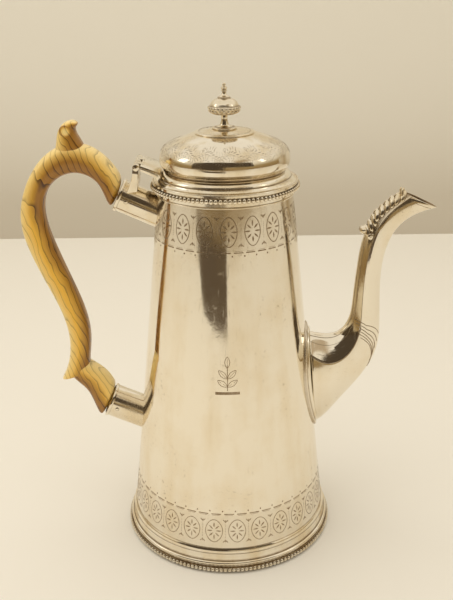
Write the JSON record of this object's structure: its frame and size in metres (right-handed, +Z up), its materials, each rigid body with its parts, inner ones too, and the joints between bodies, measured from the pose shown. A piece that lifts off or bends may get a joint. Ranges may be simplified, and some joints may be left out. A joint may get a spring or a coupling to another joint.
{
  "type": "coffee pot",
  "caption": "Tapering silver coffee pot with a hinged domed lid, swan-neck spout and carved wooden scroll handle.",
  "frame": {"origin": "on the floor plane under the centre of the foot", "axes": "+Z up along the body's axis, +X towards the spout, +Y across the pot along the lid's hinge"},
  "size_m": [0.2212, 0.12, 0.2541],
  "materials": {
    "silver": "polished, lightly worn and scratched",
    "wood": "polished figured fruitwood"
  },
  "bodies": {
    "pot": {"body_shell": "silver", "base_disc": "silver", "foot_moulding": "silver", "foot_bead_wire": "silver", "rim_moulding": "silver", "rim_bead_wire": "silver", "spout": "silver", "spout_collar": "silver", "spout_leaf": "silver", "upper_socket": "silver", "upper_socket_lip": "silver", "upper_handle_pin": "silver", "lower_socket": "silver", "lower_socket_lip": "silver", "lower_handle_pin": "silver", "hinge_body_leaf": "silver", "hinge_pin": "silver", "handle": "wood"},
    "lid": {"lid_flange": "silver", "lid_dome": "silver", "lid_bezel": "silver", "finial_plate": "silver", "finial": "silver", "finial_washer": "silver", "finial_nut": "silver", "hinge_lid_leaf": "silver"}
  },
  "joints": [
    {"name": "lid_hinge", "type": "hinge", "parent": "pot", "child": "lid", "pos_m": [-0.045, 0, 0.214], "axis": [0, -1, 0], "range_deg": [0, 105]}
  ]
}
